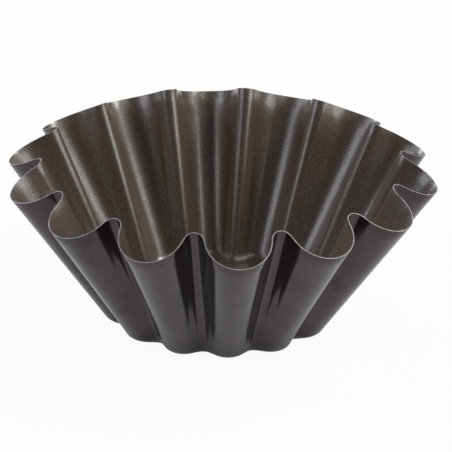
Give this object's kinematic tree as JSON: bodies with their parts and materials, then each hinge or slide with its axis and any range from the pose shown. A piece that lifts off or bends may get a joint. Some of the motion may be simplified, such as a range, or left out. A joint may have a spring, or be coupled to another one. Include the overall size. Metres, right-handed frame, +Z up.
{
  "type": "brioche mould",
  "caption": "Wide flared baking mould for brioche: one pressed cup of dark non-stick coated sheet steel with round flutes, a wavy cut rim and a flat scalloped base.",
  "frame": {"origin": "centre of the underside of the flat base, on the table plane", "axes": "+Z up the axis of the mould, -Y towards the front, through the middle of an outward flute"},
  "size_m": [0.2154, 0.22, 0.0856],
  "materials": {
    "coated_steel": "dark brown-grey non-stick coating, satin and finely speckled inside, smoother lacquer outside, bare cut edge at the rim"
  },
  "bodies": {
    "root": {"fluted_shell": "coated_steel"}
  },
  "joints": []
}
